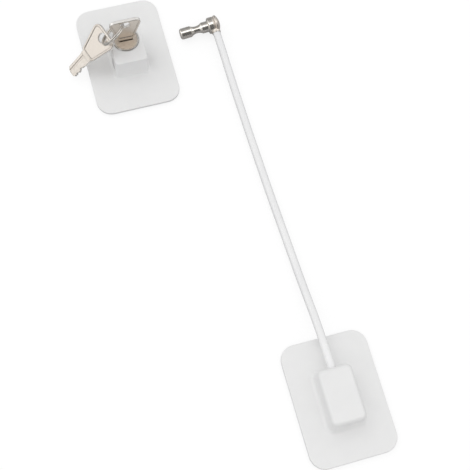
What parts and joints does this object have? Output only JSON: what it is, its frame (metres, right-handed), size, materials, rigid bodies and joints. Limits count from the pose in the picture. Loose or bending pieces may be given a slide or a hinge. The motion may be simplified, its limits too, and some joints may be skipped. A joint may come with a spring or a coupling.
{
  "type": "child safety fridge lock",
  "caption": "White adhesive child safety fridge lock with a key cylinder, a spare key on a ring, and a coated cable with a locking pin.",
  "frame": {"origin": "middle of the lock half's adhesive pad, on the surface it sticks to", "axes": "+Z away from that surface, +Y along the long side of the plates towards the lock half, +X towards the side where the pin goes in"},
  "size_m": [0.1316, 0.3227, 0.0435],
  "materials": {
    "white_plastic": "satin",
    "foam_tape": "matte foam",
    "plated_zinc": "satin plated",
    "satin_nickel": "warm satin nickel",
    "key_nickel": "warm nickel plate",
    "polished_nickel": "polished",
    "wafer_brass": "stamped",
    "spring_steel": "bright",
    "zinc_plated_steel": "zinc plated",
    "cable_coating": "smooth",
    "steel_wire": "stranded",
    "crimp_aluminium": "crimped"
  },
  "bodies": {
    "root": {"lock_base": "white_plastic", "lock_pad": "foam_tape", "lock_casting": "plated_zinc", "lock_back_plate": "zinc_plated_steel", "lock_plate_screws": "zinc_plated_steel", "locking_pin": "polished_nickel", "pin_head": "polished_nickel", "cable_jacket": "cable_coating", "wire_core": "steel_wire", "anchor_base": "white_plastic", "anchor_pad": "foam_tape", "anchor_back_plate": "zinc_plated_steel", "anchor_plate_screws": "zinc_plated_steel", "anchor_ferrule": "crimp_aluminium"},
    "plug": {"lock_plug": "satin_nickel", "wafer_1": "wafer_brass", "wafer_2": "wafer_brass", "wafer_3": "wafer_brass", "wafer_4": "wafer_brass", "wafer_5": "wafer_brass", "wafer_springs": "spring_steel", "stop_washer": "zinc_plated_steel", "retaining_clip": "spring_steel"},
    "key_in_lock": {"key": "key_nickel"},
    "ring": {"key_ring": "polished_nickel"},
    "spare": {"spare_key": "key_nickel"}
  },
  "joints": [
    {"name": "plug_turn", "type": "hinge", "parent": "root", "child": "plug", "pos_m": [0, 0.0026, 0.0185], "axis": [0, 0, 1], "range_deg": [0, 90]},
    {"name": "key_slide", "type": "slide", "parent": "plug", "child": "key_in_lock", "axis": [0, 0, 1], "range_m": [0, 0.017]},
    {"name": "ring_swing", "type": "hinge", "parent": "key_in_lock", "child": "ring", "pos_m": [0, 0.0026, 0.0385], "axis": [0, 1, 0], "range_deg": [0, 60]},
    {"name": "spare_key_swing", "type": "hinge", "parent": "ring", "child": "spare", "pos_m": [-0.01429, 0.00359, 0.02556], "axis": [-0.6159, -0.2181, 0.757], "range_deg": [-30, 15]}
  ]
}
